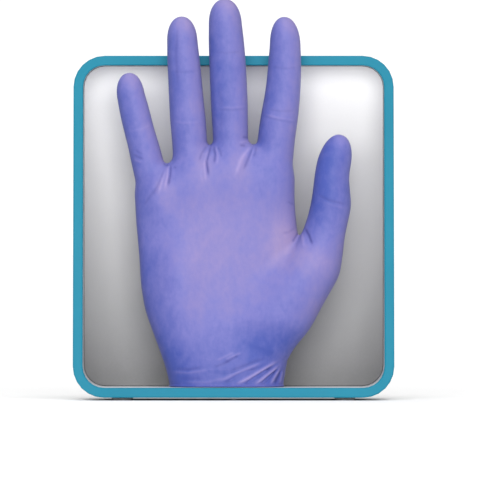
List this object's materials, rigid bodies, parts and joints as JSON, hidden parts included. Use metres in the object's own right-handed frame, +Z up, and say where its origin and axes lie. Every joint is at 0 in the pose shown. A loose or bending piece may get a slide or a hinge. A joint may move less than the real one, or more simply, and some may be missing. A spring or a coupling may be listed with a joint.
{
  "type": "glove display box",
  "caption": "Wedge-shaped open-front case holding a jointed hand form that wears a thin elastic glove; the hand lifts off its post and every finger bends.",
  "frame": {"origin": "on the table under the middle of the case, at the level of the feet's undersides", "axes": "+Z up, -Y towards the viewer and the open front, +X to the viewer's right, the thumb's side"},
  "size_m": [0.17, 0.0635, 0.2125],
  "materials": {
    "teal_plastic": "satin moulded teal plastic",
    "case_plastic": "satin moulded light grey plastic",
    "panel_sheet": "satin sheet printed with a fade from white at the top to grey at the bottom",
    "board_plastic": "fine textured dark grey plastic",
    "foot_rubber": "matt pale grey silicone rubber",
    "steel": "plain zinc-plated steel",
    "form_plastic": "matt off-white plastic with fine layer lines",
    "nitrile": "thin periwinkle nitrile film, satin, finely textured at the fingertips"
  },
  "bodies": {
    "case": {"back_board": "board_plastic", "board_screw_low_left": "steel", "board_screw_low_right": "steel", "board_screw_top_left": "steel", "board_screw_top_right": "steel", "case_shell": "case_plastic", "fade_panel": "panel_sheet", "foot_front_left": "foot_rubber", "foot_front_right": "foot_rubber", "foot_rear_left": "foot_rubber", "foot_rear_right": "foot_rubber", "form_post": "form_plastic", "front_bezel": "teal_plastic", "post_screw": "steel"},
    "hand": {"palm_core": "form_plastic", "glove_palm": "nitrile", "index_middle_pin": "steel", "middle_middle_pin": "steel", "ring_middle_pin": "steel", "little_middle_pin": "steel", "thumb_middle_pin": "steel"},
    "index_middle": {"index_middle_link": "form_plastic", "glove_index_middle": "nitrile", "index_tip_pin": "steel"},
    "index_tip": {"index_tip_link": "form_plastic", "glove_index_tip": "nitrile"},
    "middle_middle": {"middle_middle_link": "form_plastic", "glove_middle_middle": "nitrile", "middle_tip_pin": "steel"},
    "middle_tip": {"middle_tip_link": "form_plastic", "glove_middle_tip": "nitrile"},
    "ring_middle": {"ring_middle_link": "form_plastic", "glove_ring_middle": "nitrile", "ring_tip_pin": "steel"},
    "ring_tip": {"ring_tip_link": "form_plastic", "glove_ring_tip": "nitrile"},
    "little_middle": {"little_middle_link": "form_plastic", "glove_little_middle": "nitrile", "little_tip_pin": "steel"},
    "little_tip": {"little_tip_link": "form_plastic", "glove_little_tip": "nitrile"},
    "thumb_middle": {"thumb_middle_link": "form_plastic", "glove_thumb_middle": "nitrile", "thumb_tip_pin": "steel"},
    "thumb_tip": {"thumb_tip_link": "form_plastic", "glove_thumb_tip": "nitrile"}
  },
  "joints": [
    {"name": "hand_lift", "type": "slide", "parent": "case", "child": "hand", "axis": [0, 0, 1], "range_m": [0, 0.04]},
    {"name": "index_middle_hinge", "type": "hinge", "parent": "hand", "child": "index_middle", "pos_m": [0.0244, -0.0015, 0.1505], "axis": [0.9947, 0, -0.1028], "range_deg": [0, 70]},
    {"name": "index_tip_hinge", "type": "hinge", "parent": "index_middle", "child": "index_tip", "pos_m": [0.0269, -0.0015, 0.1755], "axis": [0.9986, 0, -0.0534], "range_deg": [0, 50]},
    {"name": "middle_middle_hinge", "type": "hinge", "parent": "hand", "child": "middle_middle", "pos_m": [-0.0022, -0.0015, 0.1552], "axis": [0.9993, 0, 0.0375], "range_deg": [0, 70]},
    {"name": "middle_tip_hinge", "type": "hinge", "parent": "middle_middle", "child": "middle_tip", "pos_m": [-0.0035, -0.0015, 0.184], "axis": [0.9987, 0, 0.0506], "range_deg": [0, 50]},
    {"name": "ring_middle_hinge", "type": "hinge", "parent": "hand", "child": "ring_middle", "pos_m": [-0.0242, -0.0015, 0.1481], "axis": [0.998, 0, 0.0634], "range_deg": [0, 70]},
    {"name": "ring_tip_hinge", "type": "hinge", "parent": "ring_middle", "child": "ring_tip", "pos_m": [-0.026, -0.0015, 0.1738], "axis": [0.9979, 0, 0.0655], "range_deg": [0, 50]},
    {"name": "little_middle_hinge", "type": "hinge", "parent": "hand", "child": "little_middle", "pos_m": [-0.0498, -0.0015, 0.1425], "axis": [0.9695, 0, 0.2452], "range_deg": [0, 65]},
    {"name": "little_tip_hinge", "type": "hinge", "parent": "little_middle", "child": "little_tip", "pos_m": [-0.0538, -0.0015, 0.1575], "axis": [0.9775, 0, 0.2108], "range_deg": [0, 50]},
    {"name": "thumb_middle_hinge", "type": "hinge", "parent": "hand", "child": "thumb_middle", "pos_m": [0.046, -0.0065, 0.0819], "axis": [0.6256, -0.7456, -0.2298], "range_deg": [0, 30]},
    {"name": "thumb_tip_hinge", "type": "hinge", "parent": "thumb_middle", "child": "thumb_tip", "pos_m": [0.0516, -0.0065, 0.1059], "axis": [0.6377, -0.76, -0.1257], "range_deg": [0, 50]}
  ]
}
